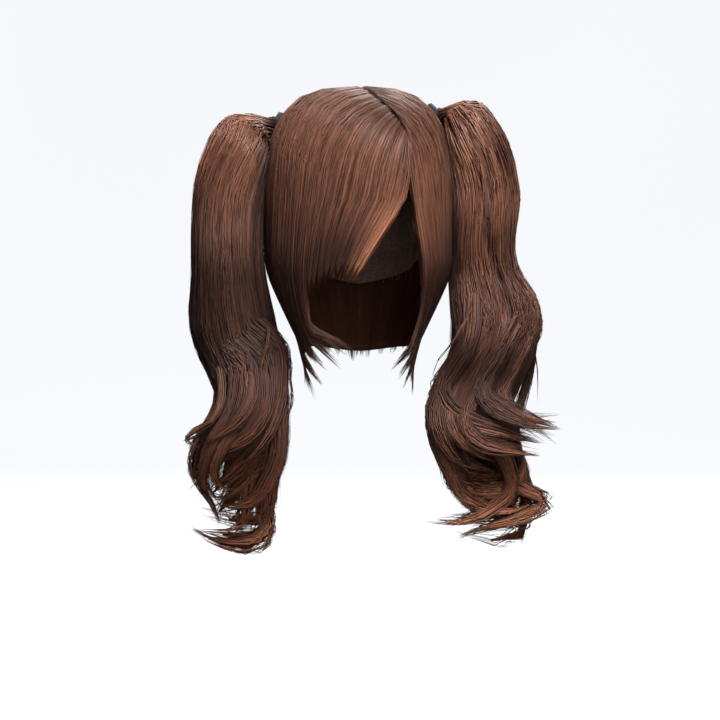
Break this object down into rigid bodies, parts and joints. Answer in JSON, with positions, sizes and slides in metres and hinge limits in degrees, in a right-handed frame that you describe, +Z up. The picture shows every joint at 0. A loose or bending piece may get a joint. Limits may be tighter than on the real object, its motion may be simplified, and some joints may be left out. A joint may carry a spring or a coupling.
{
  "type": "pigtail wig",
  "caption": "Short wig on a net cap, with a swept fringe, chin-length side hair and long wavy clip-on tails held high at the sides of the head.",
  "frame": {"origin": "inside top of the cap, where the crown of a head meets it", "axes": "+Z up, the face opening looks along -Y, +X to the right of the front view"},
  "size_m": [0.336, 0.2204, 0.4287],
  "materials": {
    "hair": "glossy synthetic fibre, mid brown with reddish thin edges",
    "cap_net": "matt dark brown elastic net",
    "clip_plastic": "smooth black plastic"
  },
  "bodies": {
    "root": {"wig_cap": "cap_net", "fringe": "hair", "side_hair_left": "hair", "side_hair_right": "hair", "back_hair": "hair", "clip_left": "clip_plastic", "clip_right": "clip_plastic", "pigtail_left": "hair", "pigtail_right": "hair"}
  },
  "joints": []
}
